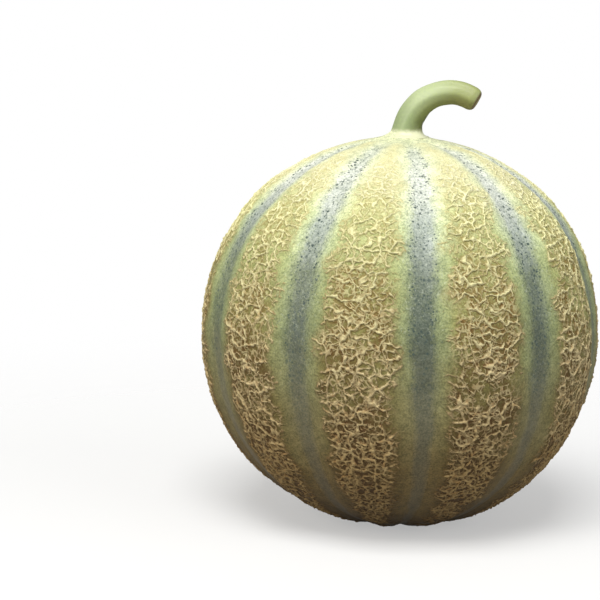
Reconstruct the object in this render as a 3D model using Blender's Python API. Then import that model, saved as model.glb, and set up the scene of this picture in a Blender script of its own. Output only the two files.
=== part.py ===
"""Cantaloupe melon: a ribbed round fruit on a small flat spot, with its stem.

Metres, +Z up. The origin is the centre of the flat spot that the melon rests on,
-Y is its front and the stem arches over towards +X.
"""

import math

import bmesh
import bpy
from mathutils import Vector

# The fruit: a ball slightly lower than wide, squarer than an ellipsoid, with ten ribs.
EQUATOR_RADIUS = 0.068
POLE_RADIUS = 0.067
SQUARENESS = 2.06
RIBS = 10
FIRST_GROOVE = math.radians(7.5)
GROOVE_DEPTH = 0.0013
GROOVE_SHARPNESS = 3.0
GROOVE_FADE = 0.6

# The low collar on top, which the stem grows out of.
COLLAR_HEIGHT = 0.0024
COLLAR_RADIUS = 0.0085
COLLAR_STEEPNESS = 8

# The fruit's mesh: its rings crowd towards the poles, where the nearest ones lie flat.
COLUMNS_PER_RIB = 8
RINGS = 30
RING_CROWDING = 0.29
RESTING_RINGS = 4
SEAT_RINGS = 2

# The stem: it starts nearly upright, arches over evenly and ends pointing outwards and down.
STEM_LENGTH = 0.0292
STEM_OFFSET = 0.0008
STEM_BEARING = math.radians(8.0)
STEM_FIRST_LEAN = math.radians(5.0)
STEM_LAST_LEAN = math.radians(118.0)
STEM_UPRIGHT_LENGTH = 0.0008
STEM_ROOT_RADIUS = 0.00455
STEM_TIP_RADIUS = 0.0040
STEM_FLARE = 0.0015
STEM_FLARE_LENGTH = 0.0024
STEM_STEPS = 26
STEM_ROUNDNESS = 3

# Two meshes that touch keep this much room between them.
GAP = 0.0003


def clear_scene():
    """Removes every object, so that the script also runs in an open file."""
    for thing in list(bpy.data.objects):
        bpy.data.objects.remove(thing, do_unlink=True)


def new_collection(name):
    """Returns a new collection in the scene."""
    collection = bpy.data.collections.new(name)
    bpy.context.scene.collection.children.link(collection)
    return collection


def new_material(name, colour, roughness):
    """Returns a plain Principled material."""
    material = bpy.data.materials.new(name)
    material.use_nodes = True
    material.diffuse_color = (*colour, 1.0)
    shader = material.node_tree.nodes["Principled BSDF"]
    shader.inputs["Base Color"].default_value = (*colour, 1.0)
    shader.inputs["Roughness"].default_value = roughness
    shader.inputs["Metallic"].default_value = 0.0
    return material


def signed_power(value, power):
    """Raises the size of a number to a power and keeps its sign."""
    return math.copysign(abs(value) ** power, value)


def profile_point(angle):
    """Returns radius and height over the middle at an angle from the upper pole."""
    radius = EQUATOR_RADIUS * abs(math.sin(angle)) ** (2.0 / SQUARENESS)
    height = POLE_RADIUS * signed_power(math.cos(angle), 2.0 / SQUARENESS)
    return radius, height


def groove_depth(bearing, angle):
    """Returns how deep the surface lies under the rib tops, for a bearing from the front."""
    wave = 0.5 + 0.5 * math.cos(RIBS * (bearing - FIRST_GROOVE))
    fade = abs(math.sin(angle)) ** GROOVE_FADE
    return GROOVE_DEPTH * wave**GROOVE_SHARPNESS * fade


def collar_rise(radius):
    """Returns how far the collar lifts the surface, at a radius from the middle line."""
    return COLLAR_HEIGHT / (1.0 + (radius / COLLAR_RADIUS) ** COLLAR_STEEPNESS)


def ring_angle(even_angle):
    """Moves an evenly spaced ring angle towards the nearer pole."""
    return even_angle - RING_CROWDING * math.sin(2.0 * even_angle)


def flat_heights():
    """Returns the heights over the fruit's middle of the resting face and of the seat."""
    step = math.pi / RINGS
    resting = -profile_point(ring_angle(RESTING_RINGS * step))[1]
    radius, height = profile_point(ring_angle(SEAT_RINGS * step))
    return resting, height + collar_rise(radius)


RESTING_DEPTH, SEAT_RISE = flat_heights()
SEAT_HEIGHT = SEAT_RISE - RESTING_DEPTH


def fruit_point(direction):
    """Moves a point of the unit ball to the fruit's surface."""
    angle = ring_angle(math.acos(max(-1.0, min(1.0, direction.z))))
    bearing = math.atan2(direction.x, -direction.y)
    radius, height = profile_point(angle)
    if height > 0.0:
        height += collar_rise(radius)
    height = min(max(height - RESTING_DEPTH, 0.0), SEAT_HEIGHT)
    radius = max(radius - groove_depth(bearing, angle), 0.0)
    return Vector((radius * math.sin(bearing), -radius * math.cos(bearing), height))


def join_flat_faces(mesh, height):
    """Makes one face of all the faces that lie at one height."""
    flat = [
        face
        for face in mesh.faces
        if all(abs(vertex.co.z - height) < 1e-6 for vertex in face.verts)
    ]
    bmesh.ops.dissolve_faces(mesh, faces=flat, use_verts=False)


def make_fruit(collection):
    """Makes the fruit from a ball, with one flat face to rest on and one under the stem."""
    ball = bmesh.new()
    bmesh.ops.create_uvsphere(
        ball, u_segments=RIBS * COLUMNS_PER_RIB, v_segments=RINGS, radius=1.0
    )
    for vertex in ball.verts:
        vertex.co = fruit_point(vertex.co.copy())
    join_flat_faces(ball, 0.0)
    join_flat_faces(ball, SEAT_HEIGHT)
    mesh = bpy.data.meshes.new("fruit")
    ball.to_mesh(mesh)
    ball.free()
    mesh.shade_smooth()
    mesh.set_sharp_from_angle(angle=math.radians(30.0))
    fruit = bpy.data.objects.new("fruit", mesh)
    fruit.data.materials.append(new_material("netted_rind", (0.55, 0.50, 0.26), 0.6))
    collection.objects.link(fruit)
    return fruit


def stem_lean(distance):
    """Returns the stem's lean from the vertical, at a distance along its middle line."""
    if distance < STEM_UPRIGHT_LENGTH:
        return 0.0
    return STEM_FIRST_LEAN + (STEM_LAST_LEAN - STEM_FIRST_LEAN) * distance / STEM_LENGTH


def stem_radius(distance):
    """Returns the stem's radius: a slow taper, with a flare where it leaves the fruit."""
    taper = STEM_ROOT_RADIUS + (STEM_TIP_RADIUS - STEM_ROOT_RADIUS) * distance / STEM_LENGTH
    return taper + STEM_FLARE * math.exp(-distance / STEM_FLARE_LENGTH)


def make_stem(collection):
    """Makes the stem: a tube with closed ends along a line that bends over to one side."""
    curve = bpy.data.curves.new("stem", "CURVE")
    curve.dimensions = "3D"
    curve.bevel_depth = 1.0
    curve.bevel_resolution = STEM_ROUNDNESS
    curve.use_fill_caps = True
    spline = curve.splines.new("POLY")
    spline.points.add(STEM_STEPS)
    step = STEM_LENGTH / STEM_STEPS
    side = Vector((math.cos(STEM_BEARING), -math.sin(STEM_BEARING), 0.0))
    place = STEM_OFFSET * side + Vector((0.0, 0.0, SEAT_HEIGHT + GAP))
    for number, point in enumerate(spline.points):
        distance = number * step
        point.co = (*place, 1.0)
        point.radius = stem_radius(distance)
        lean = stem_lean(distance + step / 2)
        place += step * (math.sin(lean) * side + Vector((0.0, 0.0, math.cos(lean))))
    stem = bpy.data.objects.new("stem", curve)
    curve.materials.append(new_material("green_stem", (0.47, 0.56, 0.30), 0.5))
    collection.objects.link(stem)
    return stem


def main():
    """Makes the melon."""
    clear_scene()
    melon = new_collection("cantaloupe_melon")
    make_fruit(melon)
    make_stem(melon)


main()
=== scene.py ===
"""Cantaloupe melon: a ribbed fruit in its corky netting, with its stem, on a pale floor.

Metres, +Z up. The fruit stands on the origin, -Y is its front. A bearing is the angle
round the fruit from the front towards +X, and an angle is counted from the stem end.
"""

import math

import bpy
import numpy as np
from bpy.props import FloatProperty, FloatVectorProperty, IntProperty, PointerProperty
from bpy.types import Operator, Panel, PropertyGroup
from mathutils import Matrix, Vector


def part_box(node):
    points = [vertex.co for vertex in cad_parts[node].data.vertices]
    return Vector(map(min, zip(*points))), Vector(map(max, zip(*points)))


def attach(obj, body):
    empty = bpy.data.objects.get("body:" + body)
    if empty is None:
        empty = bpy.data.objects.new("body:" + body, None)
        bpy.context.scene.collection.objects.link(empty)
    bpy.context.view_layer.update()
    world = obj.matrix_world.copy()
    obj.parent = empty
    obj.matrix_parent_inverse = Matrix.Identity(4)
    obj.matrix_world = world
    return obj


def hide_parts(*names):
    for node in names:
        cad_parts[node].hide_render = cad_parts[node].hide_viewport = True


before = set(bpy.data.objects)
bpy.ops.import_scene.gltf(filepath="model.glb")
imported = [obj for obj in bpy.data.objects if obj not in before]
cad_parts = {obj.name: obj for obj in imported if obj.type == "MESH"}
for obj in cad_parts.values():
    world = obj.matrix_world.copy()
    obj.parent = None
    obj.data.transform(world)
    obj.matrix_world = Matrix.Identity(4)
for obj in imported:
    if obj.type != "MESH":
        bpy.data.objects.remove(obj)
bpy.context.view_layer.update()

bl_info = {
    "name": "Netted Melon",
    "version": (1, 0, 0),
    "blender": (4, 5, 0),
    "location": "View3D > Sidebar > Melon",
    "description": "Makes a ribbed, netted melon with its stem and a studio floor",
    "category": "Add Mesh",
}

MM = 0.001
FRUIT_LOW, FRUIT_HIGH = (np.array(corner, float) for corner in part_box("fruit"))
EQUATOR_RADIUS = float(FRUIT_HIGH[0] - FRUIT_LOW[0]) / 2
SEAT_HEIGHT = float(FRUIT_HIGH[2])

# The fruit's proportions, which the CAD solid has too.
POLE_SHARE = 0.985
SQUARENESS = 2.06
RIBS = 10
RIB_PITCH = 2.0 * math.pi / RIBS
FIRST_GROOVE = math.radians(7.5)
RESTING_SINK = 1.36 * MM
REST_SOFTNESS = 0.5 * MM
MIDDLE_HEIGHT = EQUATOR_RADIUS * POLE_SHARE - RESTING_SINK

# The collar under the stem, and the scar that the blossom left underneath.
COLLAR_RISE = 2.7 * MM
COLLAR_RADIUS = 4.2 * MM
COLLAR_REACH = 2.5 * MM
DISH_DEPTH = 0.7 * MM
DISH_RADIUS = 4.6 * MM
RING_DEPTH = 0.45 * MM
RING_RADIUS = 6.6 * MM
RING_WIDTH = 0.8 * MM
SCAR_RADIUS = 6.4 * MM


# ---------------------------------------------------------------- settings


class MelonShape(PropertyGroup):
    """Sizes of the rind, the netting and the stem."""

    groove_depth: FloatProperty(
        name="Groove depth", description="How deep a groove lies under its ribs",
        default=1.3 * MM, unit="LENGTH")
    net_height: FloatProperty(
        name="Net height", description="How proud the thickest cork strands stand",
        default=0.56 * MM, unit="LENGTH")
    net_cell: FloatProperty(
        name="Net cell", description="Usual width of a cell of the netting",
        default=4.2 * MM, unit="LENGTH")
    net_strand: FloatProperty(
        name="Strand width", description="Width of the foot of the thickest cork strands",
        default=1.05 * MM, unit="LENGTH")
    seed: IntProperty(
        name="Seed", description="Seed of the netting's random pattern", default=11)


class MelonFinish(PropertyGroup):
    """Colours of the rind, the netting and the stem."""

    cork: FloatVectorProperty(
        name="Cork", description="Colour of the netting's strands and the blossom scar",
        subtype="COLOR", default=(0.515, 0.42, 0.225))
    groove: FloatVectorProperty(
        name="Groove", description="Colour of the smooth grooves above the middle",
        subtype="COLOR", default=(0.135, 0.164, 0.122))
    speck: FloatVectorProperty(
        name="Speck", description="Colour of the dark specks in the grooves",
        subtype="COLOR", default=(0.035, 0.06, 0.055))
    # The upper side's pale colour is partly painted light.
    stem: FloatVectorProperty(
        name="Stem", description="Colour of the stem's upper side",
        subtype="COLOR", default=(0.41, 0.48, 0.265))


class MelonStage(PropertyGroup):
    """The floor, the lights and the camera."""

    floor: FloatVectorProperty(
        name="Floor", description="Colour of the floor",
        subtype="COLOR", default=(0.80, 0.80, 0.79))
    key_power: FloatProperty(
        name="Key light", description="Power of the soft light over the front",
        default=57.0, unit="POWER")
    ambient: FloatProperty(
        name="Ambient", description="Strength of the even light all round", default=0.28)
    view_height: FloatProperty(
        name="View elevation", description="How far the camera looks down",
        default=math.radians(9.4), subtype="ANGLE")
    view_distance: FloatProperty(
        name="View distance", description="From the camera to the fruit's middle",
        default=0.68, unit="LENGTH")


# ---------------------------------------------------------------- shape


def smooth_step(low, high, value):
    """Goes from 0 at low to 1 at high along a cubic with level ends."""
    share = np.clip((value - low) / (high - low), 0.0, 1.0)
    return share * share * (3.0 - 2.0 * share)


def angle_step(low, high, angle):
    """Goes from 0 at the low angle to 1 at the high one, both in degrees."""
    return smooth_step(math.radians(low), math.radians(high), angle)


def ripple(points, wavelength, seed, waves=14):
    """Smooth noise of about -1 to 1: a mean of plane waves in seeded random directions.

    Each wave's length is between 0.7 and 1.5 times the given one.
    """
    rng = np.random.default_rng(seed)
    directions = rng.normal(size=(waves, points.shape[-1]))
    directions /= np.linalg.norm(directions, axis=1, keepdims=True)
    numbers = 2.0 * np.pi / (wavelength * rng.uniform(0.7, 1.5, waves))
    phases = rng.uniform(0.0, 2.0 * np.pi, waves)
    total = np.zeros(points.shape[:-1])
    for direction, number, phase in zip(directions, numbers, phases):
        total += np.cos(points @ (direction * number) + phase)
    return total / math.sqrt(waves)


def ball_directions(bearing, angle):
    """Unit vectors for bearings round the fruit and angles from its stem end."""
    level = np.sin(angle)
    return np.stack(
        (level * np.sin(bearing), -level * np.cos(bearing), np.cos(angle)), axis=-1)


def outline_radius(angle):
    """Radius of the fruit without its grooves: a power of the angle's sine."""
    return EQUATOR_RADIUS * np.abs(np.sin(angle)) ** (2.0 / SQUARENESS)


def fruit_surface(bearing, angle, groove_depth):
    """Places on the fruit's skin.

    The outline is a superellipse turned about the upright axis. Each groove takes a
    third power of a cosine off it, long ripples make it uneven, a fillet that falls
    off exponentially lifts the collar round the stem, and a hyperbola blends the
    underside into the flat spot at height 0, where the blossom left a dished scar.
    """
    sine, cosine = np.sin(angle), np.cos(angle)
    outline = outline_radius(angle)
    height = EQUATOR_RADIUS * POLE_SHARE * np.sign(cosine) * np.abs(cosine) ** (2.0 / SQUARENESS)
    directions = ball_directions(bearing, angle)
    wave = 0.5 + 0.5 * np.cos(RIBS * (bearing - groove_wander(angle) - FIRST_GROOVE))
    fade = np.abs(sine) ** 0.6
    uneven = 0.35 * MM * ripple(directions, 0.55, 5) + 0.10 * MM * ripple(directions, 0.16, 6)
    inward = groove_depth * wave**3 * fade - uneven * fade
    collar = COLLAR_RISE * np.exp(-np.maximum(outline - COLLAR_RADIUS, 0.0) / COLLAR_REACH)
    height = height + np.where(cosine > 0, collar, 0.0) + MIDDLE_HEIGHT - inward * cosine
    radius = np.maximum(outline - inward * np.abs(sine), 0.0) * (np.abs(sine) > 1e-9)
    rest = 0.5 * (-RESTING_SINK + math.hypot(RESTING_SINK, REST_SOFTNESS))
    height = 0.5 * (height + np.sqrt(height * height + REST_SOFTNESS**2)) - rest
    height = height + np.where(cosine < 0, blossom_dent(outline), 0.0)
    return np.stack((radius * np.sin(bearing), -radius * np.cos(bearing), height), axis=-1)


def blossom_dent(radius):
    """Depth of the blossom scar: a shallow bell-shaped dish with a ring pressed round it."""
    dish = DISH_DEPTH * np.exp(-((radius / DISH_RADIUS) ** 4))
    ring = RING_DEPTH * np.exp(-(((radius - RING_RADIUS) / RING_WIDTH) ** 2))
    return dish + ring


def groove_wander(angle):
    """How far the grooves stray from their meridians: a slow wave of about a degree."""
    return math.radians(1.0) * np.sin(3.1 * angle + 0.6)


def fruit_normals(bearing, angle, groove_depth):
    """Outward unit normals, from the cross product of differences to both sides."""
    step = 1e-3
    across = fruit_surface(bearing + step, angle, groove_depth)
    across -= fruit_surface(bearing - step, angle, groove_depth)
    down = fruit_surface(bearing, angle + step, groove_depth)
    down -= fruit_surface(bearing, angle - step, groove_depth)
    normals = np.cross(down, across)
    return normals / np.maximum(np.linalg.norm(normals, axis=-1, keepdims=True), 1e-12)


def groove_distance(bearing, angle):
    """Distance along the skin to the nearest groove's middle, in metres."""
    turn = bearing - groove_wander(angle) - FIRST_GROOVE
    nearest = np.abs((turn + RIB_PITCH / 2) % RIB_PITCH - RIB_PITCH / 2)
    return nearest * outline_radius(angle)


def rib_centre(rib):
    """Bearing of the middle of a rib, which lies halfway between two grooves."""
    return FIRST_GROOVE + (rib + 0.5) * RIB_PITCH


def blossom_mask(bearing, angle):
    """The corky disc of the blossom scar, 1 inside its ragged edge and 0 outside."""
    edge = SCAR_RADIUS + 0.5 * MM * ripple(ball_directions(bearing, angle), 0.05, 41)
    inside = 1.0 - smooth_step(-0.5 * MM, 0.5 * MM, outline_radius(angle) - edge)
    return np.where(np.cos(angle) < 0, inside, 0.0)


def skin_masks(bearing, angle):
    """Where the skin is groove, and where it is the smooth margin beside one, 0 to 1.

    The groove is a bell curve of the cube of the distance from its middle, narrow
    underneath. A cosine of the bearing makes it faint on two sides, below the shoulder.
    The margin is a flatter and wider curve, of the fourth power.
    """
    directions = ball_directions(bearing, angle)
    reach = np.abs(np.sin(angle))
    middle = angle_step(45, 80, angle)
    lower = angle_step(80, 120, angle)
    core = (1.6 + 3.9 * reach - 0.9 * middle - 1.6 * lower) * MM
    core = core + 0.5 * MM * ripple(directions, 0.12, 21)
    edge = (2.4 + 7.4 * reach - 1.6 * lower) * MM + 0.9 * MM * ripple(directions, 0.16, 22)
    distance = groove_distance(bearing, angle)
    groove = np.exp(-((distance / core) ** 3)) * angle_step(8, 20, angle)
    faint = 0.24 * middle * (1.0 - np.cos(2.0 * (bearing - FIRST_GROOVE)))
    groove = groove * (1.0 - faint)
    margin = np.exp(-((distance / edge) ** 4))
    return groove, margin


# ---------------------------------------------------------------- netting


def net_strands(place, cell, half_width, drop, lean_level, seed):
    """Height, 0 to 1, of a net of strands round jittered cells, and distance to them.

    A seeded site lies in each cell of a grid. A strand runs along the line halfway
    between two neighbouring sites, with a bell-like section of its own width and height,
    both from a number that the two sites share; the weakest are left out.
    """
    rng = np.random.default_rng(seed)
    size = np.array(cell)
    low = np.floor(place.min(axis=(0, 1)) / size).astype(int) - 3
    high = np.floor(place.max(axis=(0, 1)) / size).astype(int) + 4
    shape = tuple(high - low)
    sites = rng.uniform(0.08, 0.92, (*shape, 2))
    sites += np.stack(np.meshgrid(*map(np.arange, shape), indexing="ij"), axis=-1) + low
    sites *= size
    shares = rng.random(shape)
    home = np.floor(place / size).astype(int) - low
    around = [(i, j) for i in (-2, -1, 0, 1, 2) for j in (-2, -1, 0, 1, 2)]
    nearest = np.full(place.shape[:2], np.inf)
    own = np.zeros_like(place)
    own_share = np.zeros(place.shape[:2])
    for i, j in around:
        site = sites[home[..., 0] + i, home[..., 1] + j]
        reach = ((place - site) ** 2).sum(axis=-1)
        closer = reach < nearest
        nearest = np.where(closer, reach, nearest)
        own = np.where(closer[..., None], site, own)
        own_share = np.where(closer, shares[home[..., 0] + i, home[..., 1] + j], own_share)
    height = np.zeros(place.shape[:2])
    clear = np.full(place.shape[:2], 1.0)
    for i, j in around:
        at = (home[..., 0] + i, home[..., 1] + j)
        between = sites[at] - own
        gap = np.sqrt((between**2).sum(axis=-1))
        other = gap > 1e-9
        reach = ((place - sites[at]) ** 2).sum(axis=-1) - nearest
        distance = reach / (2.0 * np.where(other, gap, 1.0))
        shared = (own_share + shares[at]) % 1.0
        level = np.abs(between[..., 1]) / np.where(other, gap, 1.0)
        strength = (shared - drop) / np.maximum(1.0 - drop, 1e-6)
        strength = np.where(other, strength * (1.0 - lean_level * (1.0 - level**2)), -1.0)
        alive = smooth_step(0.0, 0.12, strength)
        width = half_width * (0.72 + 0.5 * np.clip(strength, 0.0, 1.0))
        section = np.clip(1.0 - (distance / width) ** 2, 0.0, 1.0) ** 1.4
        height = np.maximum(height, alive * section * (0.55 + 0.45 * np.clip(strength, 0, 1)))
        away = np.where(alive > 0.3, np.maximum(distance - width, 0.0), 1.0)
        clear = np.minimum(clear, away)
    return height, clear


def net_relief(bearing, angle, rib, shape):
    """Height of the cork and distance to a strand, in metres, and how netted the skin is.

    A coarse net and a fine one lie over each other in a map of the rib whose scale
    shrinks towards both ends. Ripples bend the strands and make them lumpy. The net
    thins out towards the grooves, where mostly level strands are left, in a few bare
    patches, and towards the stem, where it is low and fine.
    """
    sine = np.sin(angle)
    directions = ball_directions(bearing, angle)
    steps = np.linspace(angle.min(), angle.max(), 800)
    scales = np.sin(steps) ** 0.55 * (1.12 - 0.30 * angle_step(75, 125, steps))
    scale = np.interp(angle, steps, scales)
    across = (bearing - rib_centre(rib) - groove_wander(angle)) * EQUATOR_RADIUS * sine / scale
    travel = np.cumsum(EQUATOR_RADIUS / scales) * (steps[1] - steps[0])
    along = np.interp(angle, steps, travel)
    place = np.stack((across, along), axis=-1)
    seed = shape.seed * 100 + rib * 7
    for size, shift, number in ((0.075, 0.55 * MM, 1), (0.03, 0.26 * MM, 3)):
        bend = [ripple(directions, size, seed + number + axis) for axis in (0, 1)]
        place = place + shift * np.stack(bend, axis=-1)
    distance = groove_distance(bearing, angle)
    edge = (2.4 + 6.3 * sine) * MM + 1.4 * MM * ripple(directions, 0.14, seed + 5)
    inside = smooth_step(-1.8 * MM, 2.2 * MM, distance - edge)
    netted = smooth_step(-2.6 * MM, 5.0 * MM, distance - edge)
    border = 1.0 - smooth_step(0.5 * MM, 5.0 * MM, distance - edge)
    bare = smooth_step(0.55, 1.15, ripple(directions, 0.22, seed + 6)) * angle_step(45, 70, angle)
    half = shape.net_strand / 2 / np.maximum(scale, 0.3)
    half = half * (1.0 + 0.18 * ripple(directions, 0.035, seed + 9))
    cell = shape.net_cell
    coarse, near_coarse = net_strands(
        place, (cell * 1.1, cell * 0.86), half, 0.12 + 0.5 * bare, 0.75 * border, seed)
    fine, near_fine = net_strands(
        place, (cell * 0.56, cell * 0.43), half * 0.76, 0.34 + 0.6 * bare,
        0.8 * border, seed + 50)
    crown = 0.25 + 0.75 * angle_step(12, 48, angle)
    lumps = np.clip(1.0 + 0.32 * ripple(directions, 0.022, seed + 8), 0.25, 1.45)
    outer = smooth_step(-4.2 * MM, 0.0, distance - edge)
    fine = fine * np.clip(0.60 + 0.20 * ripple(directions, 0.12, seed + 10), 0.1, 0.9)
    height = np.maximum(coarse * inside, fine * (0.35 * outer + 0.65 * inside)) * lumps
    height = height * crown * angle_step(9, 16, angle)
    clear = np.minimum(near_coarse, near_fine) * scale
    return shape.net_height * height, clear, netted


# ---------------------------------------------------------------- meshes


def new_piece(name, points, faces, material, attributes=None):
    """Makes a smooth mesh object from whole arrays of places and of triangles or quads."""
    mesh = bpy.data.meshes.new(name)
    faces = [np.asarray(part, np.int32) for part in faces]
    corners = np.concatenate([part.ravel() for part in faces])
    sizes = np.concatenate([np.full(len(part), part.shape[1], np.int32) for part in faces])
    starts = np.concatenate(([0], np.cumsum(sizes)[:-1])).astype(np.int32)
    mesh.vertices.add(len(points))
    mesh.vertices.foreach_set("co", np.asarray(points, np.float32).ravel())
    mesh.loops.add(len(corners))
    mesh.loops.foreach_set("vertex_index", corners)
    mesh.polygons.add(len(sizes))
    mesh.polygons.foreach_set("loop_start", starts)
    mesh.update(calc_edges=True)
    if mesh.validate():
        raise RuntimeError(f"{name} had faces that Blender had to mend")
    mesh.shade_smooth()
    for label, values in (attributes or {}).items():
        layer = mesh.attributes.new(label, "FLOAT", "POINT")
        layer.data.foreach_set("value", np.asarray(values, np.float32).ravel())
    mesh.materials.append(material)
    piece = bpy.data.objects.new(name, mesh)
    bpy.context.scene.collection.objects.link(piece)
    return piece


def grid_faces(numbers):
    """Quads of a grid of vertex numbers, facing the side from which rows run downwards."""
    a, b = numbers[:-1, :-1], numbers[:-1, 1:]
    c, d = numbers[1:, 1:], numbers[1:, :-1]
    return np.stack((a, d, c, b), axis=-1).reshape(-1, 4)


def stitch(fine, coarse):
    """Triangles between a line of many vertices and one of few, with the same ends.

    Each short edge goes to the nearest vertex of the coarse line, and each long edge
    to the middle vertex of its stretch.
    """
    ratio = (len(fine) - 1) // (len(coarse) - 1)
    number = np.arange(len(fine) - 1)
    short = np.stack((fine[:-1], fine[1:], coarse[(number + ratio // 2) // ratio]), axis=-1)
    number = np.arange(len(coarse) - 1)
    long = np.stack((coarse[1:], coarse[:-1], fine[number * ratio + ratio // 2]), axis=-1)
    return np.concatenate((short, long))


def closed_tube(rings):
    """Places and faces of a tube of rings whose first and last ring close on a point."""
    rows, columns = rings.shape[:2]
    numbers = np.arange(rows * columns).reshape(rows, columns)
    wrapped = np.concatenate((numbers, numbers[:, :1]), axis=1)
    first, last = rows * columns, rows * columns + 1
    points = np.concatenate(
        (rings.reshape(-1, 3), [rings[0].mean(axis=0)], [rings[-1].mean(axis=0)]))
    start = np.stack(
        (np.full(columns, first), wrapped[0, :-1], wrapped[0, 1:]), axis=-1)
    end = np.stack((np.full(columns, last), wrapped[-1, 1:], wrapped[-1, :-1]), axis=-1)
    return points, (grid_faces(wrapped), start, end)


def with_rest(values, rest):
    """A grid's values in a row, followed by those of the vertices that aren't on it."""
    return np.append(np.ravel(values), rest)


# ---------------------------------------------------------------- materials


class Number:
    """One output of a node. Python's operators on it add Math nodes."""

    def __init__(self, recipe, socket):
        self.recipe = recipe
        self.socket = socket

    def join(self, operation, *values):
        """Adds one Math node."""
        inputs = dict(enumerate(values))
        return self.recipe.add("ShaderNodeMath", {"operation": operation}, inputs)

    def __add__(self, other):
        return self.join("ADD", self, other)

    def __sub__(self, other):
        return self.join("SUBTRACT", self, other)

    def __rsub__(self, other):
        return self.join("SUBTRACT", other, self)

    def __mul__(self, other):
        return self.join("MULTIPLY", self, other)

    def __truediv__(self, other):
        return self.join("DIVIDE", self, other)

    __radd__ = __add__
    __rmul__ = __mul__

    def most(self, other):
        """The larger of this and another number."""
        return self.join("MAXIMUM", self, other)

    def step(self, low, high):
        """Goes smoothly from 0 where this is at low to 1 where it is at high."""
        inputs = {"Value": self, "From Min": low, "From Max": high}
        return self.recipe.add(
            "ShaderNodeMapRange", {"interpolation_type": "SMOOTHSTEP"}, inputs)


class Recipe:
    """A material's node tree, and the one method that adds a node to it."""

    def __init__(self, name):
        self.material = bpy.data.materials.new(name)
        self.material.use_nodes = True
        self.tree = self.material.node_tree
        self.tree.nodes.clear()
        self.places = self.add("ShaderNodeTexCoord", output="Object")

    def add(self, kind, settings=None, inputs=None, output=0):
        """Adds a node: first its settings or a ramp's stops, then its sockets."""
        node = self.tree.nodes.new(kind)
        for key, value in (settings or {}).items():
            if key == "stops":
                self.set_stops(node.color_ramp, value)
            else:
                setattr(node, key, value)
        for key, value in (inputs or {}).items():
            socket = node.inputs[key]
            if isinstance(value, Number):
                self.tree.links.new(value.socket, socket)
            elif isinstance(value, (tuple, list)) and socket.type == "RGBA":
                socket.default_value = (*value[:3], 1.0)
            else:
                socket.default_value = value
        return Number(self, node.outputs[output]) if len(node.outputs) else node

    def set_stops(self, ramp, stops):
        """Gives a ramp its stops, each a place from 0 to 1 and a colour."""
        while len(ramp.elements) > 1:
            ramp.elements.remove(ramp.elements[-1])
        for number, (place, colour) in enumerate(stops):
            element = ramp.elements[0] if number == 0 else ramp.elements.new(place)
            element.position = place
            element.color = (*colour, 1.0)

    def attribute(self, name):
        """The value of one of the mesh's attributes."""
        return self.add("ShaderNodeAttribute", {"attribute_name": name}, output="Fac")

    def noise(self, size, detail=3.0, roughness=0.55):
        """Noise from 0 to 1 with features of about the given size in metres."""
        return self.add("ShaderNodeTexNoise", inputs={
            "Vector": self.places, "Scale": 1.0 / size, "Detail": detail,
            "Roughness": roughness}, output="Fac")

    def dots(self, spacing, radius, keep):
        """Round dots, 1 inside, at random places in cells; keep is the share that stay."""
        settings = {"feature": "F1"}
        inputs = {"Vector": self.places, "Scale": 1.0 / spacing, "Randomness": 1.0}
        node = self.add("ShaderNodeTexVoronoi", settings, inputs, output="Distance")
        colour = Number(self, node.socket.node.outputs["Color"])
        chance = self.add("ShaderNodeSeparateColor", inputs={"Color": colour}, output="Red")
        size = self.add("ShaderNodeSeparateColor", inputs={"Color": colour}, output="Green")
        reach = (0.55 + size * 0.7) * (radius / spacing)
        inside = 1.0 - (node / reach).step(0.65, 1.15)
        return inside * (1.0 - chance.step(keep - 0.02, keep + 0.02))

    def veins(self, size, half_width, keep):
        """Thin lines, 1 inside, between wavy cells of a size; keep is the share that stay."""
        bend = self.add("ShaderNodeTexNoise", inputs={
            "Vector": self.places, "Scale": 1.0 / size, "Detail": 2.0}, output="Color")
        places = self.add("ShaderNodeVectorMath", {"operation": "MULTIPLY_ADD"}, {
            0: bend, 1: (size, size, size), 2: self.places}, output="Vector")
        edge = self.add("ShaderNodeTexVoronoi", {"feature": "DISTANCE_TO_EDGE"}, {
            "Vector": places, "Scale": 1.0 / size}, output="Distance")
        reach = half_width / size
        line = 1.0 - edge.step(reach * 0.5, reach * 1.4)
        return line * self.noise(size * 1.7, 2.0).step(0.62 - 0.3 * keep, 0.72 - 0.3 * keep)

    def ramp(self, value, *stops):
        """A colour that follows a value through the given stops."""
        return self.add("ShaderNodeValToRGB", {"stops": stops}, {"Fac": value}, "Color")

    def mix(self, share, first, second, blend="MIX"):
        """Goes from the first colour to the second as the share goes from 0 to 1."""
        settings = {"data_type": "RGBA", "blend_type": blend, "clamp_factor": True}
        inputs = {0: share, 6: first, 7: second}
        return self.add("ShaderNodeMix", settings, inputs, output=2)

    def height(self):
        """Height over the floor, from 0 to 1 at the seat of the stem."""
        socket = self.add("ShaderNodeSeparateXYZ", inputs={"Vector": self.places}, output="Z")
        return socket / SEAT_HEIGHT

    def finish(self, bump_height=None, bump_strength=0.5, bump_distance=0.3 * MM, **inputs):
        """Ends the recipe in a Principled shader, with an optional bump."""
        names = {key.replace("_", " ").title(): value for key, value in inputs.items()}
        names = {key.replace("Ior", "IOR"): value for key, value in names.items()}
        if bump_height is not None:
            names["Normal"] = self.add("ShaderNodeBump", inputs={
                "Height": bump_height, "Strength": bump_strength, "Distance": bump_distance})
        shader = self.add("ShaderNodeBsdfPrincipled", inputs=names)
        self.add("ShaderNodeOutputMaterial", inputs={"Surface": shader})
        return self.material


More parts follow.
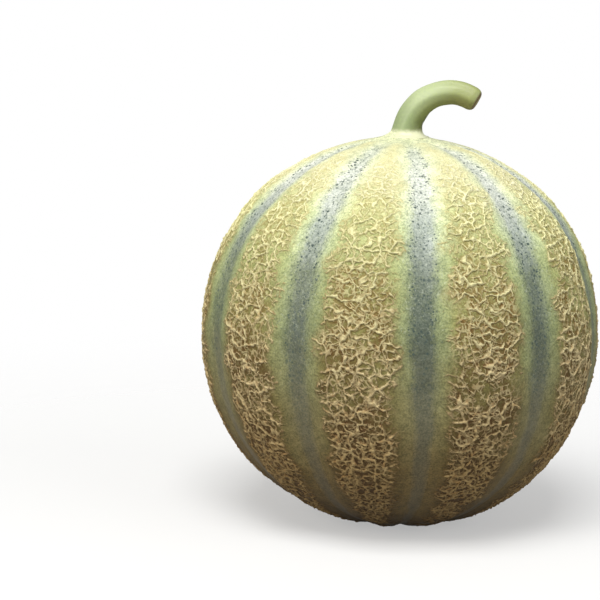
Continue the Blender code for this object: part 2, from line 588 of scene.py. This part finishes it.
def skin_colour(recipe, finish):
    """Colour of the bare skin: rib ground, smooth margins, and grooves with their specks.

    Every tone runs from brown underneath, partly the skin's own colour and partly painted shade,
    through green to cream, and darkens again round the stem's foot as painted shade.
    """
    height = recipe.height()
    level = height + (recipe.noise(14 * MM, 2.0) - 0.5) * 0.14
    # Each ramp darkens towards the bottom, partly as painted shade, and its last stop darkens the
    # collar round the stem's foot as painted shade.
    ground = recipe.ramp(
        level,
        (0.00, (0.045, 0.025, 0.008)), (0.20, (0.090, 0.060, 0.016)),
        (0.45, (0.18, 0.16, 0.050)), (0.60, (0.28, 0.29, 0.10)),
        (0.72, (0.37, 0.42, 0.165)), (0.84, (0.58, 0.62, 0.31)),
        (0.93, (0.73, 0.74, 0.47)), (1.00, (0.58, 0.60, 0.39)))
    margin = recipe.ramp(
        level,
        (0.00, (0.050, 0.030, 0.011)), (0.20, (0.13, 0.092, 0.032)),
        (0.38, (0.205, 0.185, 0.082)), (0.57, (0.24, 0.275, 0.130)),
        (0.70, (0.36, 0.41, 0.20)), (0.80, (0.56, 0.63, 0.36)),
        (0.90, (0.74, 0.77, 0.49)), (1.00, (0.62, 0.65, 0.41)))
    groove = recipe.ramp(
        level,
        (0.00, (0.040, 0.027, 0.012)), (0.20, (0.090, 0.072, 0.032)),
        (0.38, (0.125, 0.122, 0.074)), (0.54, (0.080, 0.098, 0.074)),
        (0.68, tuple(finish.groove)), (0.80, (0.345, 0.39, 0.345)),
        (0.90, (0.62, 0.65, 0.58)), (1.00, (0.56, 0.60, 0.46)))
    mottle = recipe.noise(1.3 * MM, 5.0, 0.7)
    groove_share = recipe.attribute("groove") * (0.10 + mottle * 2.0)
    margin_share = recipe.attribute("margin")
    colour = recipe.mix(margin_share + (mottle - 0.5) * 0.8, ground, margin)
    colour = recipe.mix(groove_share, colour, groove)
    cloud = recipe.noise(2.6 * MM, 2.0).step(0.3, 0.7)
    fine = recipe.noise(0.6 * MM, 4.0, 0.7).step(0.33, 0.67) * 0.7 + cloud * 0.3
    darker = recipe.mix(1.0, colour, (0.50, 0.54, 0.52), "MULTIPLY")
    lighter = recipe.mix(1.0, colour, (1.38, 1.35, 1.34), "MULTIPLY")
    colour = recipe.mix(fine, darker, lighter)
    specks = recipe.dots(1.35 * MM, 0.45 * MM, 0.85)
    small = recipe.dots(0.85 * MM, 0.27 * MM, 0.7)
    cluster = recipe.noise(3.5 * MM, 2.0).step(0.35, 0.6)
    stray = recipe.dots(2.7 * MM, 0.40 * MM, 0.35) * (0.25 + 0.75 * margin_share)
    dark = (specks * (0.6 + 0.4 * cluster)).most(small * cluster)
    dark = (dark * groove_share.step(0.1, 0.6)).most(stray * 0.6)
    colour = recipe.mix(dark * height.step(0.25, 0.6) * 0.95, colour, tuple(finish.speck))
    pale = recipe.noise(0.9 * MM, 3.0, 0.6).step(0.55, 0.72) * margin_share
    colour = recipe.mix(pale * height.step(0.3, 0.9) * 0.5, colour, (0.62, 0.66, 0.54))
    gloss = groove_share.step(0.0, 0.8)
    return colour, gloss


def rind_material(finish):
    """Skin of the fruit: satin, with a fine bumpy grain, a gentle swell and dark specks."""
    recipe = Recipe("rind_skin")
    colour, gloss = skin_colour(recipe, finish)
    grain = recipe.noise(0.45 * MM, 3.0)
    swell = recipe.noise(2.2 * MM, 2.0)
    scar = recipe.attribute("scar")
    cracks = recipe.veins(1.6 * MM, 0.14 * MM, 0.7)
    dry = recipe.noise(1.2 * MM, 4.0, 0.7).step(0.3, 0.75)
    scarred = recipe.mix(dry, (0.09, 0.05, 0.020), tuple(finish.cork))
    scarred = recipe.mix(cracks * 0.8, scarred, (0.035, 0.018, 0.008))
    colour = recipe.mix((scar + (grain - 0.5) * 0.5).step(0.35, 0.65), colour, scarred)
    dull = 1.0 - recipe.height().step(0.2, 0.7)
    roughness = 0.46 + recipe.noise(3.0 * MM) * 0.14 - gloss * 0.12 + dull * 0.2 + scar * 0.2
    return recipe.finish(
        bump_height=grain * 0.35 + swell, bump_strength=0.35, bump_distance=0.25 * MM,
        base_color=colour, roughness=roughness, specular_ior_level=0.35)


def netting_material(finish):
    """Skin between the strands, darkened along them by painted shade, and pale lumpy cork on the
    strands, with painted light on their crests and painted shade on their flanks.
    """
    recipe = Recipe("corky_netting")
    skin, gloss = skin_colour(recipe, finish)
    height = recipe.height()
    crevice_shade = recipe.attribute("crevice_shade")
    cork = recipe.attribute("cork")
    crest = recipe.attribute("crest")
    grain = recipe.noise(0.4 * MM, 4.0, 0.7)
    blotch = recipe.noise(1.8 * MM, 4.0, 0.65)
    patch = recipe.noise(7.0 * MM, 2.0)
    # Colour of the painted shade beside the strands and on their flanks, and of the dark grain and
    # flecks; near black at the bottom, partly as painted shade.
    brown = recipe.ramp(
        height, (0.0, (0.028, 0.013, 0.004)), (0.45, (0.085, 0.040, 0.008)),
        (0.68, (0.185, 0.105, 0.022)), (0.82, (0.33, 0.28, 0.085)), (0.95, (0.64, 0.60, 0.30)))
    netted = recipe.attribute("netted")
    lower = 1.0 - height.step(0.55, 0.85)
    # Fresh green patches get less of the painted shade and the dark grain below.
    fresh = recipe.noise(16 * MM, 2.0).step(0.46, 0.66) * (1.0 - height.step(0.7, 0.95))
    darkening_share = 1.0 - fresh * 0.7
    # Painted shade in the crevices beside the strands, then dark grain on the netted skin that
    # grows towards the bottom, partly as painted shade.
    skin = recipe.mix(crevice_shade * (0.42 + (blotch - 0.35) * 2.2) * darkening_share, skin, brown)
    skin = recipe.mix(netted * (grain - 0.38) * (0.9 + lower * 2.9) * darkening_share, skin, brown)
    # The strands darken towards the bottom partly as painted shade, and their last stop darkens
    # them round the stem's foot as painted shade.
    strand = recipe.ramp(
        height + (patch - 0.5) * 0.22,
        (0.00, (0.11, 0.070, 0.028)), (0.22, (0.32, 0.225, 0.095)),
        (0.45, tuple(finish.cork)), (0.68, (0.65, 0.61, 0.325)),
        (0.82, (0.84, 0.82, 0.44)), (0.93, (0.88, 0.86, 0.60)), (1.00, (0.68, 0.67, 0.45)))
    # Painted light and shade on the strands: their low flanks turn towards the brown and their
    # crests keep the pale colour, broken up by noise.
    shade = ((grain - 0.5) * 1.3 + crest * 1.1 + (blotch - 0.5) * 1.2).step(0.10, 0.85)
    tan = recipe.mix(1.0, strand, (0.80, 0.62, 0.48), "MULTIPLY")
    strand = recipe.mix(blotch.step(0.50, 0.68) * lower * 0.7, strand, tan)
    micro = recipe.veins(2.0 * MM, 0.21 * MM, 0.62) * netted
    colour = recipe.mix(micro * (0.25 + lower * 0.35), skin, strand)
    strand = recipe.mix(shade, recipe.mix(0.75, strand, brown), strand)
    colour = recipe.mix((cork + (grain - 0.5) * 0.8).step(0.2, 0.7), colour, strand)
    pits = recipe.dots(1.1 * MM, 0.26 * MM, 0.5) * height.step(0.35, 0.75)
    colour = recipe.mix(pits * (1.0 - gloss) * 0.45, colour, brown)
    dull = 1.0 - height.step(0.2, 0.7)
    roughness = recipe.noise(1.0 * MM) * 0.15 + cork * 0.2 + 0.46 - gloss * 0.12 + dull * 0.2
    return recipe.finish(
        bump_height=(crest + (grain - 0.5) * (0.15 + 0.45 * cork)).most(micro * 0.4),
        bump_strength=1.0, bump_distance=0.45 * MM, base_color=colour,
        roughness=roughness, specular_ior_level=0.25)


def stem_material(finish):
    """Fleshy green stem: paler on top and olive below partly as painted light and shade, darker
    near its foot as painted shadow, cream at its foot, dry at the cut.
    """
    recipe = Recipe("green_stem")
    along = recipe.attribute("along")
    under = recipe.attribute("under")
    cut = recipe.attribute("cut")
    streak = recipe.noise(1.1 * MM, 3.0)
    # Pale top and olive underside, partly the stem's own colour and partly painted light and
    # shade.
    green = recipe.mix(under, tuple(finish.stem), (0.17, 0.19, 0.05))
    green = recipe.mix((along + (streak - 0.5) * 0.25).step(0.45, 1.0), green,
                       recipe.mix(under, (0.27, 0.30, 0.11), (0.17, 0.16, 0.045)))
    green = recipe.mix((streak - 0.4) * 0.8, green, (0.85, 0.95, 0.6), "SOFT_LIGHT")
    # Painted shadow over the lower part of the stalk, near its foot.
    deep = recipe.mix(1.0, green, (0.66, 0.70, 0.64), "MULTIPLY")
    green = recipe.mix(1.0 - along.step(0.10, 0.45), green, deep)
    foot = 1.0 - (along + (streak - 0.5) * 0.06).step(-0.03, 0.04)
    colour = recipe.mix(foot, green, (0.64, 0.65, 0.43))
    fibre = recipe.noise(0.5 * MM, 3.0)
    colour = recipe.mix(cut.step(0.3, 0.6), colour,
                        recipe.mix(fibre, (0.20, 0.17, 0.05), (0.36, 0.33, 0.12)))
    rim = cut.step(0.15, 0.35) * (1.0 - cut.step(0.5, 0.7))
    colour = recipe.mix(rim * 0.8, colour, (0.10, 0.045, 0.02))
    return recipe.finish(
        bump_height=streak + recipe.noise(0.4 * MM) * 0.4, bump_strength=0.3,
        bump_distance=0.2 * MM, base_color=colour, roughness=0.45)


# ---------------------------------------------------------------- operators


class MELON_OT_rind(Operator):
    """Makes the rind: the whole skin of the fruit, closed at both poles"""

    bl_idname = "melon.rind"
    bl_label = "Rind"

    COLUMNS = 320
    ROWS = 140
    CROWDING = 0.25

    def execute(self, context):
        shape = context.scene.melon_shape
        even = np.arange(1, self.ROWS) * math.pi / self.ROWS
        angles = even - self.CROWDING * np.sin(2.0 * even)
        turns = np.arange(self.COLUMNS) * 2.0 * math.pi / self.COLUMNS
        angle, bearing = np.meshgrid(angles, turns, indexing="ij")
        points, faces = closed_tube(fruit_surface(bearing, angle, shape.groove_depth))
        groove, margin = skin_masks(bearing, angle)
        attributes = {
            "groove": with_rest(groove, (0.0, 0.0)),
            "margin": with_rest(margin, (0.0, 0.0)),
            "scar": with_rest(blossom_mask(bearing, angle), (0.0, 1.0)),
        }
        material = rind_material(context.scene.melon_finish)
        rind = new_piece("rind", points, faces, material, attributes)
        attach(rind, "root")
        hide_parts("fruit")
        return {"FINISHED"}


class MELON_OT_netting(Operator):
    """Makes the netting of each rib: cork strands grown through the skin between them"""

    bl_idname = "melon.netting"
    bl_label = "Netting"

    COLUMNS = 126
    ROWS = 672
    COARSE = 14
    HALF_SPAN = math.radians(16.4)
    FIRST_ANGLE = math.radians(8.5)
    LAST_ANGLE = math.radians(170.0)
    LIFT = 0.08 * MM
    SWELL = 0.05 * MM
    SWELL_REACH = 1.2 * MM
    # How far the painted shade reaches from the strands over the skin.
    CREVICE_SHADE_REACH = 0.55 * MM
    HEM_SHARE = 0.10
    HEM_ANGLE = 0.05
    HEM_SINK = 0.35 * MM
    DEPTH = 0.5 * MM
    CLEARANCE = 0.03 * MM

    def execute(self, context):
        shape = context.scene.melon_shape
        material = netting_material(context.scene.melon_finish)
        for rib in range(RIBS):
            piece = self.make_rib(rib, shape, material)
            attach(piece, "root")
            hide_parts("fruit")
        return {"FINISHED"}

    def make_rib(self, rib, shape, material):
        """Makes one rib's net: a fine relief over a coarse smooth underside in the rind.

        The skin between strands swells a little with its distance from them. Along the
        hem, the relief falls by a cubic until it is sunk in the rind.
        """
        share = np.linspace(-1.0, 1.0, self.COLUMNS + 1)
        angles = np.linspace(self.FIRST_ANGLE, self.LAST_ANGLE, self.ROWS + 1)
        angle, side = np.meshgrid(angles, share, indexing="ij")
        bearing = rib_centre(rib) + groove_wander(angle) + self.HALF_SPAN * side
        height, clear, netted = net_relief(bearing, angle, rib, shape)
        ends = np.minimum(angle - self.FIRST_ANGLE, self.LAST_ANGLE - angle)
        hem = smooth_step(0.0, self.HEM_SHARE, 1.0 - np.abs(side))
        hem = hem * smooth_step(0.0, self.HEM_ANGLE, ends)
        swell = self.SWELL * smooth_step(0.0, self.SWELL_REACH, clear)
        lift = height + (self.LIFT + swell) * hem - self.HEM_SINK * (1.0 - hem)
        skin = fruit_surface(bearing, angle, shape.groove_depth)
        normals = fruit_normals(bearing, angle, shape.groove_depth)
        top = skin + normals * lift[..., None]
        under = (skin - normals * self.DEPTH)[:: self.COARSE, :: self.COARSE]
        points = np.concatenate((top.reshape(-1, 3), under.reshape(-1, 3)))
        points[:, 2] = np.maximum(points[:, 2], self.CLEARANCE)
        fine = np.arange(top.shape[0] * top.shape[1]).reshape(top.shape[:2])
        coarse = np.arange(under.shape[0] * under.shape[1]).reshape(under.shape[:2])
        coarse = coarse + fine.size
        walls = np.concatenate([
            stitch(fine[0], coarse[0]), stitch(fine[-1, ::-1], coarse[-1, ::-1]),
            stitch(fine[::-1, 0], coarse[::-1, 0]), stitch(fine[:, -1], coarse[:, -1])])
        groove, margin = skin_masks(bearing, angle)
        crest = height / shape.net_height
        values = {
            "groove": groove, "margin": margin, "netted": netted, "crest": crest,
            "cork": smooth_step(0.05, 0.45, crest),
            # Painted shade on the skin beside the strands, fading with the distance to them.
            "crevice_shade": netted * np.exp(-clear / self.CREVICE_SHADE_REACH),
        }
        rest = np.zeros(coarse.size)
        attributes = {label: with_rest(value, rest) for label, value in values.items()}
        faces = (grid_faces(fine), grid_faces(coarse)[:, ::-1], walls)
        return new_piece(f"netting_rib_{rib + 1:02d}", points, faces, material, attributes)


class MELON_OT_stem(Operator):
    """Makes the stem: a ridged stalk that flares at its foot and ends in a dry cut"""

    bl_idname = "melon.stem"
    bl_label = "Stem"

    LENGTH = 29.2 * MM
    SUNK = 2.4 * MM
    OFFSET = 0.8 * MM
    BEARING = math.radians(8.0)
    FIRST_LEAN = math.radians(5.0)
    LAST_LEAN = math.radians(118.0)
    LEVEL_LENGTH = 6.0 * MM
    ROOT_RADIUS = 4.5 * MM
    TAPER = 0.5 * MM
    FLARE = 0.75 * MM
    FLARE_LENGTH = 4.0 * MM
    FOOT_RISE = 0.6 * MM
    FILLET = 2.5 * MM
    RIDGES = 5
    RIDGE_HEIGHT = 0.13 * MM
    FINE_RIDGE_HEIGHT = 0.05 * MM
    TWIST = 14.0
    CAP_SHARES = np.array((0.97, 0.91, 0.82, 0.69, 0.54, 0.36, 0.18))
    CAP_RISES = np.array((0.70, 1.30, 1.80, 2.15, 2.30, 2.35, 2.35)) * MM
    CAP_DRYNESS = np.array((0.0, 0.15, 0.3, 0.5, 0.8, 1.0, 1.0))
    ROWS = 150
    COLUMNS = 72

    def execute(self, context):
        distance = np.linspace(-self.SUNK, self.LENGTH, self.ROWS)
        lean = self.FIRST_LEAN + (self.LAST_LEAN - self.FIRST_LEAN) * np.clip(
            distance / self.LENGTH, 0.0, 1.0)
        turns = np.arange(self.COLUMNS) * 2.0 * math.pi / self.COLUMNS
        along, turn = np.meshgrid(distance, turns, indexing="ij")
        rings = self.make_rings(distance, lean, self.stalk_radius(along, turn), turn)
        rings = np.concatenate((rings, self.make_cap(rings[-1], lean[-1])))
        points, faces = closed_tube(rings)
        cap = len(self.CAP_SHARES)
        way = np.concatenate((distance, np.full(cap, self.LENGTH))) / self.LENGTH
        cut = np.concatenate((np.zeros(self.ROWS), self.CAP_DRYNESS))
        # The underside mask, which the material paints olive, partly as painted shade.
        under = smooth_step(-0.2, 0.9, -np.cos(turn))
        under = np.concatenate((under, np.tile(under[-1], (cap, 1))))
        attributes = {
            "along": with_rest(np.repeat(way, self.COLUMNS), (0.0, 1.0)),
            "cut": with_rest(np.repeat(cut, self.COLUMNS), (0.0, 1.0)),
            "under": with_rest(under, (0.0, 0.5)),
        }
        material = stem_material(context.scene.melon_finish)
        stem = new_piece("stalk", points, faces, material, attributes)
        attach(stem, "root")
        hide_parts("stem")
        return {"FINISHED"}

    def stalk_radius(self, along, turn):
        """Distance of the skin from the stalk's midline.

        It tapers evenly, and widens towards the foot by an exponential and then by a
        quarter of a circle. Cosines of the turn, twisted along the stalk, make five
        ridges and ten finer ones, and ripples make it uneven.
        """
        radius = self.ROOT_RADIUS - self.TAPER * along / self.LENGTH
        radius = radius + self.FLARE * np.exp(-np.maximum(along, 0.0) / self.FLARE_LENGTH)
        drop = np.clip(self.FOOT_RISE - along, 0.0, self.FILLET)
        radius = radius + self.FILLET - np.sqrt(self.FILLET**2 - drop**2)
        twist = turn + self.TWIST * along
        radius = radius + self.RIDGE_HEIGHT * np.cos(self.RIDGES * twist)
        radius = radius + self.FINE_RIDGE_HEIGHT * np.cos(2 * self.RIDGES * twist + 1.0)
        grid = np.stack((along, np.cos(turn) * 4 * MM, np.sin(turn) * 4 * MM), axis=-1)
        return radius + 0.10 * MM * ripple(grid, 7 * MM, 31)

    def make_rings(self, distance, lean, radius, turn):
        """Rings round a midline whose lean grows evenly.

        They stand square to it, except towards the foot, where they lie more and more level.
        """
        tilt = lean * smooth_step(self.FOOT_RISE, self.LEVEL_LENGTH, distance)
        step = distance[1] - distance[0]
        side = self.OFFSET + np.cumsum(np.sin(lean)) * step - self.SUNK * math.sin(self.FIRST_LEAN)
        rise = SEAT_HEIGHT - self.SUNK + np.cumsum(np.cos(lean)) * step
        out = radius * np.cos(turn)
        depth = radius * np.sin(turn)
        flat = side[:, None] - out * np.cos(tilt)[:, None]
        height = rise[:, None] + out * np.sin(tilt)[:, None]
        cosine, sine = math.cos(self.BEARING), math.sin(self.BEARING)
        return np.stack(
            (flat * cosine + depth * sine, -flat * sine + depth * cosine, height), axis=-1)

    def make_cap(self, last, lean):
        """Smaller and smaller rings that round off the cut end along the stalk's axis."""
        centre = last.mean(axis=0)
        axis = np.array((
            math.sin(lean) * math.cos(self.BEARING), -math.sin(lean) * math.sin(self.BEARING),
            math.cos(lean)))
        return (centre + (last - centre) * self.CAP_SHARES[:, None, None]
                + axis * self.CAP_RISES[:, None, None])


class MELON_OT_stage(Operator):
    """Makes the pale floor, the soft lights and the camera"""

    bl_idname = "melon.stage"
    bl_label = "Stage"

    LENS = 117.6
    SENSOR = 36.0
    ASIDE = -0.511
    ABOVE = 0.140
    ROLL = math.radians(1.2)
    FLOOR_RADII = np.array((0.02, 0.1, 0.3, 0.6, 0.9, 1.2))
    FLOOR_TURNS = 96
    FLOOR_FADE = (0.06, 0.40)
    FLOOR_OPACITY = 0.6
    LIGHT_DISTANCE = 2.4
    # Name, bearing and elevation in degrees, size, share of the key's power, and colour.
    LIGHTS = (
        ("key", -8.0, 60.0, 1.3, 1.0, (1.0, 1.0, 1.0)),
        ("fill", -55.0, 20.0, 1.8, 0.53, (1.0, 0.94, 0.85)),
        ("second_fill", 60.0, 20.0, 1.8, 0.35, (1.0, 1.0, 1.0)),
    )

    def execute(self, context):
        stage = context.scene.melon_stage
        self.make_floor(stage)
        for name, bearing, elevation, size, share, colour in self.LIGHTS:
            self.make_light(name, bearing, elevation, size, stage.key_power * share, colour)
        self.make_world(context.scene, stage)
        context.scene.view_settings.view_transform = "Standard"
        self.make_camera(context.scene, stage)
        return {"FINISHED"}

    def make_world(self, scene, stage):
        """Makes a white backdrop that lights the scene only dimly."""
        world = bpy.data.worlds.new("studio")
        scene.world = world
        world.use_nodes = True
        tree = world.node_tree
        shader = tree.nodes["Background"]
        shader.inputs["Color"].default_value = (1.0, 1.0, 1.0, 1.0)
        rays = tree.nodes.new("ShaderNodeLightPath")
        strength = tree.nodes.new("ShaderNodeMapRange")
        strength.inputs["To Min"].default_value = stage.ambient
        strength.inputs["To Max"].default_value = 1.0
        tree.links.new(rays.outputs["Is Camera Ray"], strength.inputs["Value"])
        tree.links.new(strength.outputs["Result"], shader.inputs["Strength"])

    def make_floor(self, stage):
        """Makes a round floor, as rings about its middle, that fades out at its rim."""
        radius = self.FLOOR_RADII[:, None]
        turns = np.arange(self.FLOOR_TURNS) * 2.0 * math.pi / self.FLOOR_TURNS
        rings = np.stack(
            (radius * np.cos(turns), radius * np.sin(turns), np.zeros((radius.size, turns.size))),
            axis=-1)
        numbers = np.arange(radius.size * turns.size).reshape(radius.size, turns.size)
        wrapped = np.concatenate((numbers, numbers[:, :1]), axis=1)
        points = np.concatenate((rings.reshape(-1, 3), [[0.0, 0.0, 0.0]]))
        hub = np.stack(
            (np.full(turns.size, numbers.size), wrapped[0, :-1], wrapped[0, 1:]), axis=-1)
        recipe = Recipe("pale_floor")
        reach = recipe.add("ShaderNodeVectorMath", {"operation": "LENGTH"},
                           {0: recipe.places}, output="Value")
        material = recipe.finish(
            base_color=tuple(stage.floor), roughness=0.8,
            alpha=(1.0 - reach.step(*self.FLOOR_FADE)) * self.FLOOR_OPACITY)
        floor = new_piece("floor", points, (grid_faces(wrapped), hub), material)

    def make_light(self, name, bearing, elevation, size, power, colour):
        """Makes a square soft light that points at the fruit's middle, angles in degrees."""
        turn, rise = math.radians(bearing), math.radians(elevation)
        away = Vector((math.sin(turn) * math.cos(rise), -math.cos(turn) * math.cos(rise),
                       math.sin(rise)))
        light = bpy.data.lights.new(name, "AREA")
        light.size = size
        light.energy = power
        light.color = colour
        lamp = bpy.data.objects.new(name, light)
        lamp.location = Vector((0.0, 0.0, SEAT_HEIGHT / 2)) + away * self.LIGHT_DISTANCE
        lamp.rotation_euler = away.to_track_quat("Z", "Y").to_euler()
        bpy.context.scene.collection.objects.link(lamp)

    def make_camera(self, scene, stage):
        """Makes the camera, aimed beside the fruit so that it stands to the right."""
        middle = Vector((0.0, 0.0, MIDDLE_HEIGHT))
        away = Vector((0.0, -math.cos(stage.view_height), math.sin(stage.view_height)))
        upwards = Vector((0.0, math.sin(stage.view_height), math.cos(stage.view_height)))
        place = middle + away * stage.view_distance
        aim = middle + EQUATOR_RADIUS * (self.ASIDE * Vector((1, 0, 0)) + self.ABOVE * upwards)
        camera_data = bpy.data.cameras.new("camera")
        camera_data.lens = self.LENS
        camera_data.sensor_width = self.SENSOR
        camera = bpy.data.objects.new("camera", camera_data)
        turn = (aim - place).to_track_quat("-Z", "Y").to_matrix().to_4x4()
        camera.matrix_world = Matrix.Translation(place) @ turn @ Matrix.Rotation(self.ROLL, 4, "Z")
        scene.collection.objects.link(camera)
        scene.camera = camera


class VIEW3D_PT_melon(Panel):
    """Sidebar panel with the melon's settings and pieces"""

    bl_label = "Melon"
    bl_space_type = "VIEW_3D"
    bl_region_type = "UI"
    bl_category = "Melon"

    def draw(self, context):
        layout = self.layout
        for group in (context.scene.melon_shape, context.scene.melon_finish,
                      context.scene.melon_stage):
            box = layout.box()
            for name in group.bl_rna.properties.keys():
                if name not in {"rna_type", "name"}:
                    box.prop(group, name)
        for operator in OPERATORS:
            layout.operator(operator.bl_idname)


GROUPS = {"melon_shape": MelonShape, "melon_finish": MelonFinish, "melon_stage": MelonStage}
OPERATORS = (MELON_OT_rind, MELON_OT_netting, MELON_OT_stem, MELON_OT_stage)


def register():
    """Registers the classes and puts the settings on the scene."""
    for kind in (*GROUPS.values(), *OPERATORS, VIEW3D_PT_melon):
        bpy.utils.register_class(kind)
    for name, kind in GROUPS.items():
        setattr(bpy.types.Scene, name, PointerProperty(type=kind))


def unregister():
    """Takes the settings off the scene and unregisters the classes."""
    for name in GROUPS:
        delattr(bpy.types.Scene, name)
    for kind in (VIEW3D_PT_melon, *reversed(OPERATORS), *reversed(GROUPS.values())):
        bpy.utils.unregister_class(kind)


def main():
    """Makes the melon and its stage."""
    register()
    bpy.ops.melon.stage()
    bpy.ops.melon.rind()
    bpy.ops.melon.netting()
    bpy.ops.melon.stem()


if __name__ == "__main__":
    main()
